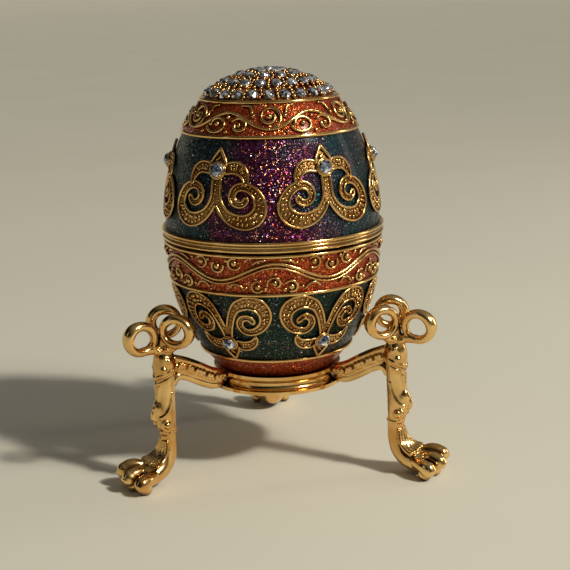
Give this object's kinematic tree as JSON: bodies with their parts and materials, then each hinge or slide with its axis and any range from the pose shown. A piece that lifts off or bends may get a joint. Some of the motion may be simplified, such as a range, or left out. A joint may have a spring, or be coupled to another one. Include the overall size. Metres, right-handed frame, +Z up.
{
  "type": "trinket box",
  "caption": "Hinged egg-shaped trinket box with glitter enamel, gilt scrollwork and a crystal-set dome, resting in the ring of a footed stand with lion paws.",
  "frame": {"origin": "on the floor, where the common axis of the egg and the stand meets it", "axes": "+Z up along the axis of the egg, -Y towards the front, the lid hinge at +Y, +X to the viewer's right"},
  "size_m": [0.0682, 0.0618, 0.0836],
  "materials": {
    "gold": "bright yellow-gold plating over a cast metal, polished, with fine casting texture",
    "orange_enamel": "glossy enamel over coarse orange-red glitter",
    "violet_enamel": "glossy enamel over glitter, magenta-violet that turns to dark teal, with pink, white and gold flecks",
    "teal_enamel": "glossy dark green-teal enamel over glitter with violet patches",
    "crystal": "clear cut crystal with a foiled back",
    "nickel": "nickel-plated magnet"
  },
  "bodies": {
    "stand": {"stand_ring": "gold", "leg_front_right": "gold", "leg_back": "gold", "leg_front_left": "gold", "bracket_front_right": "gold", "bracket_back": "gold", "bracket_front_left": "gold", "bow_front_right": "gold", "bow_back": "gold", "bow_front_left": "gold"},
    "egg_base": {"base_shell": "gold", "base_belt_enamel": "orange_enamel", "base_field_enamel": "teal_enamel", "base_foot_enamel": "orange_enamel", "base_scrolls": "gold", "base_vine": "gold", "base_beads": "gold", "base_crystals": "crystal", "base_magnet": "nickel", "hinge_pin": "gold"},
    "lid": {"lid_shell": "gold", "lid_field_enamel": "violet_enamel", "lid_band_enamel": "orange_enamel", "lid_scrolls": "gold", "lid_vine": "gold", "lid_beads": "gold", "lid_crystals": "crystal", "lid_magnet": "nickel", "dome_setting": "gold", "dome_crystals": "crystal", "dome_prongs": "gold"}
  },
  "joints": [
    {"name": "egg_lift", "type": "slide", "parent": "stand", "child": "egg_base", "axis": [0, 0, 1], "range_m": [0, 0.06]},
    {"name": "lid_hinge", "type": "hinge", "parent": "egg_base", "child": "lid", "pos_m": [0, 0.0244, 0.05], "axis": [-1, 0, 0], "range_deg": [0, 95]}
  ]
}
